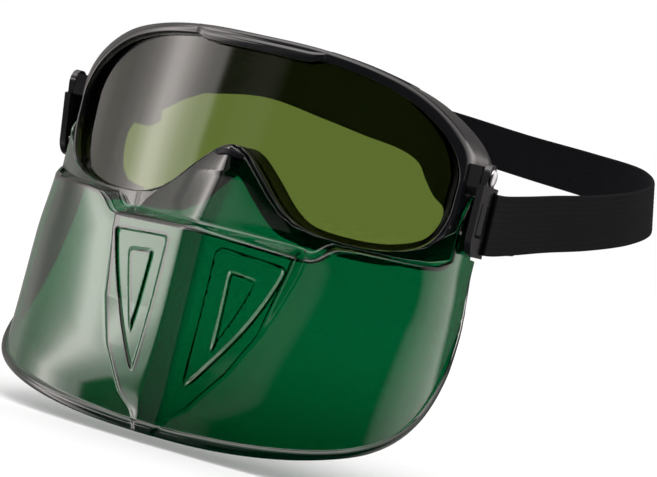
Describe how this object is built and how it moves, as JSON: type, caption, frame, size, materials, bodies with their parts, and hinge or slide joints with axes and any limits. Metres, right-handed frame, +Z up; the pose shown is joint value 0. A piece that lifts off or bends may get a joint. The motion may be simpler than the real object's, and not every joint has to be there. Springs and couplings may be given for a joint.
{
  "type": "welding goggles",
  "caption": "Wrap-around welding goggles with a shaded lens, foam face seal, clip-on green lower face shield and an elastic head strap on swinging side clips.",
  "frame": {"origin": "middle of the face plane, level with the eyes, between the rear edges of the foam seal", "axes": "+Z up, +X to the wearer's left, +Y towards the back of the head, so the lens looks along -Y"},
  "size_m": [0.2282, 0.3028, 0.1692],
  "materials": {
    "frame": "gloss moulded",
    "frame_trim": "satin moulded",
    "lens": "clear shaded polycarbonate",
    "seal": "closed-cell foam",
    "vent": "moulded",
    "pin": "turned",
    "pad": "moulded",
    "shield": "clear green polycarbonate",
    "clip": "moulded",
    "webbing": "ribbed elastic webbing"
  },
  "bodies": {
    "goggle": {"frame_body": "frame", "lens": "lens", "face_seal": "seal", "brow_tab": "frame_trim", "nose_catch": "frame_trim", "top_vent_left": "vent", "top_vent_right": "vent", "lower_vent_left": "vent", "lower_vent_right": "vent", "lug_left": "frame_trim", "lug_right": "frame_trim", "pin_left": "pin", "pin_right": "pin", "grip_pad_left": "pad", "grip_pad_right": "pad"},
    "shield": {"face_shield": "shield"},
    "strap": {"clip_left": "clip", "clip_right": "clip", "strap_band": "webbing", "strap_fold_left": "webbing", "strap_fold_right": "webbing", "strap_tail": "webbing"},
    "slider": {"strap_slider": "clip"}
  },
  "joints": [
    {"name": "shield_slide", "type": "slide", "parent": "goggle", "child": "shield", "axis": [0, -1, 0], "range_m": [0, 0.08]},
    {"name": "strap_swing", "type": "hinge", "parent": "goggle", "child": "strap", "pos_m": [0, -0.033, 0.0024], "axis": [1, 0, 0], "range_deg": [-25, 35]},
    {"name": "slider_slide", "type": "slide", "parent": "strap", "child": "slider", "axis": [-0.1387, 0.9567, 0.2559], "range_m": [-0.01, 0.01]}
  ]
}
